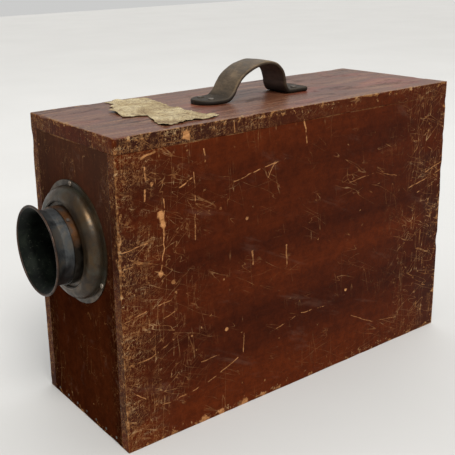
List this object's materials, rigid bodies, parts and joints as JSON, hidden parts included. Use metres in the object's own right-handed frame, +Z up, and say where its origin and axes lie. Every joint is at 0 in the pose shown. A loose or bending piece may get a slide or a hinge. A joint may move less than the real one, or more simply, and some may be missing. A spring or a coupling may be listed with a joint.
{
  "type": "box camera",
  "caption": "Tall wooden box camera with a brass flared lens hood, lift-up lid with a leather strap handle, flap shutter, rear door and slide-in double plate holder.",
  "frame": {"origin": "centre of the case's underside, on the surface it stands on", "axes": "+Z up, the lens looks along -Y, +X is the long side without hinges or slot"},
  "size_m": [0.18, 0.4962, 0.3378],
  "materials": {
    "painted_wood": "worn dark red-brown paint and stain",
    "lid_wood": "worn purplish-brown paint",
    "blackened_wood": "matt black stain",
    "holder_wood": "polished mahogany",
    "flange_brass": "oxidised",
    "tube_brass": "green-blue patina",
    "rim_brass": "worn",
    "collar_copper": "oxidised copper-brown",
    "hinge_brass": "dull",
    "iron_fastener": "dark, rusted",
    "spring_steel": "dull",
    "black_metal": "matt black",
    "slide_metal": "black japan",
    "strap_leather": "aged, stiff",
    "label_paper": "torn, foxed",
    "optical_glass": "polished",
    "plate_glass": "gelatine coated",
    "screen_glass": "ground"
  },
  "bodies": {
    "case": {"bottom_board": "painted_wood", "side_panel_right": "painted_wood", "side_panel_left": "painted_wood", "front_panel": "painted_wood", "back_lower_panel": "painted_wood", "back_top_rail": "painted_wood", "baffle_front": "blackened_wood", "baffle_rear": "blackened_wood", "front_brads": "iron_fastener", "tripod_bush": "hinge_brass", "lens_flange": "flange_brass", "flange_screws": "iron_fastener", "lens_sleeve": "collar_copper", "collar_screw": "iron_fastener", "sleeve_nut": "collar_copper", "shutter_bushes": "hinge_brass", "lid_hinge_case_leaves": "hinge_brass", "lid_hinge_pins": "hinge_brass", "lid_hinge_case_screws": "iron_fastener", "door_hinge_case_leaves": "hinge_brass", "door_hinge_pins": "hinge_brass", "door_hinge_case_screws": "iron_fastener", "holder_rail_lower": "blackened_wood", "holder_rail_upper": "blackened_wood", "ground_glass_frame": "holder_wood", "ground_glass": "screen_glass", "ground_glass_springs": "spring_steel", "catch_screws": "iron_fastener"},
    "lid": {"lid_board": "lid_wood", "lid_light_trap": "blackened_wood", "lid_hinge_lid_leaves": "hinge_brass", "lid_hinge_lid_screws": "iron_fastener", "handle_strap": "strap_leather", "handle_screws": "iron_fastener", "paper_label": "label_paper", "lid_hook_stud": "hinge_brass"},
    "lens_tube": {"lens_hood": "tube_brass", "hood_rim": "rim_brass", "front_cell": "tube_brass", "front_crown": "optical_glass", "front_flint": "optical_glass", "rear_cell": "tube_brass", "rear_crown": "optical_glass", "rear_flint": "optical_glass", "retaining_rings": "tube_brass"},
    "stop": {"waterhouse_stop": "black_metal"},
    "shutter": {"shutter_shaft": "hinge_brass", "shutter_flap": "black_metal", "shutter_lever": "hinge_brass"},
    "door": {"back_door": "painted_wood", "door_hinge_door_leaves": "hinge_brass", "door_hinge_door_screws": "iron_fastener", "door_knob": "painted_wood"},
    "hook": {"lid_hook": "hinge_brass"},
    "button": {"door_button": "hinge_brass"},
    "plate_holder": {"plate_holder_frame": "holder_wood", "holder_septum": "black_metal", "glass_plates": "plate_glass"},
    "front_slide": {"dark_slide_front": "slide_metal"},
    "rear_slide": {"dark_slide_rear": "slide_metal"}
  },
  "joints": [
    {"name": "lid_hinge", "type": "hinge", "parent": "case", "child": "lid", "pos_m": [-0.0826, 0, 0.285], "axis": [0, -1, 0], "range_deg": [0, 148]},
    {"name": "tube_focus", "type": "slide", "parent": "case", "child": "lens_tube", "axis": [0, -1, 0], "range_m": [-0.008, 0.025]},
    {"name": "stop_lift", "type": "slide", "parent": "lens_tube", "child": "stop", "axis": [0, 0, 1], "range_m": [0, 0.04]},
    {"name": "shutter_turn", "type": "hinge", "parent": "case", "child": "shutter", "pos_m": [0, -0.131, 0.2315], "axis": [1, 0, 0], "range_deg": [0, 85]},
    {"name": "door_hinge", "type": "hinge", "parent": "case", "child": "door", "pos_m": [-0.06775, 0.2226, 0.18], "axis": [0, 0, 1], "range_deg": [0, 175]},
    {"name": "hook_turn", "type": "hinge", "parent": "case", "child": "hook", "pos_m": [0, 0.221, 0.279], "axis": [0, -1, 0], "range_deg": [0, 90]},
    {"name": "button_turn", "type": "hinge", "parent": "case", "child": "button", "pos_m": [0.04, 0.2217, 0.082], "axis": [0, -1, 0], "range_deg": [0, 90]},
    {"name": "holder_slide", "type": "slide", "parent": "case", "child": "plate_holder", "axis": [-1, 0, 0], "range_m": [0, 0.14]},
    {"name": "front_slide_pull", "type": "slide", "parent": "plate_holder", "child": "front_slide", "axis": [-1, 0, 0], "range_m": [0, 0.135]},
    {"name": "rear_slide_pull", "type": "slide", "parent": "plate_holder", "child": "rear_slide", "axis": [-1, 0, 0], "range_m": [0, 0.135]}
  ]
}
